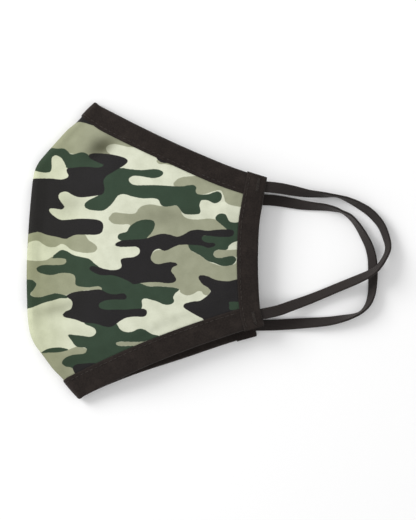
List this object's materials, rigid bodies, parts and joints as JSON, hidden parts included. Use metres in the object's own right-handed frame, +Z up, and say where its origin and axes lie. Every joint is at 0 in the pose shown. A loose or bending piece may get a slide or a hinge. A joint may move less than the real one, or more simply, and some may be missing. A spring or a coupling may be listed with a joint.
{
  "type": "fabric face mask",
  "caption": "Fitted cloth face mask in woodland camo with bound edges and flat elastic ear loops, folded flat, hinged along its front fold.",
  "frame": {"origin": "centre of the footprint of the folded mask without its ear loops, on the table it lies on", "axes": "+X from the front fold towards the ear loops, +Y from the chin edge to the nose edge, +Z up from the table, out of the near half"},
  "size_m": [0.1804, 0.1466, 0.0121],
  "materials": {
    "camo_shell": "smooth printed knit, matte",
    "lining": "soft black knit, matte",
    "binding": "ribbed knit tape, matte",
    "thread": "polyester thread, slight sheen",
    "elastic": "flat braided elastic, matte"
  },
  "bodies": {
    "far_half": {"far_outer_shell": "camo_shell", "far_lining": "lining", "far_nose_binding": "binding", "far_chin_binding": "binding", "far_side_binding": "binding", "far_nose_stitching": "thread", "far_chin_stitching": "thread", "far_side_stitching": "thread", "far_upper_bartack": "thread", "far_lower_bartack": "thread", "far_ear_loop": "elastic"},
    "near_half": {"near_outer_shell": "camo_shell", "near_lining": "lining", "near_nose_binding": "binding", "near_chin_binding": "binding", "near_side_binding": "binding", "near_nose_stitching": "thread", "near_chin_stitching": "thread", "near_side_stitching": "thread", "near_upper_bartack": "thread", "near_lower_bartack": "thread", "near_ear_loop": "elastic"}
  },
  "joints": [
    {"name": "front_fold", "type": "hinge", "parent": "far_half", "child": "near_half", "pos_m": [-0.06, 0, 0.003], "axis": [0, -1, 0], "range_deg": [0, 90]}
  ]
}
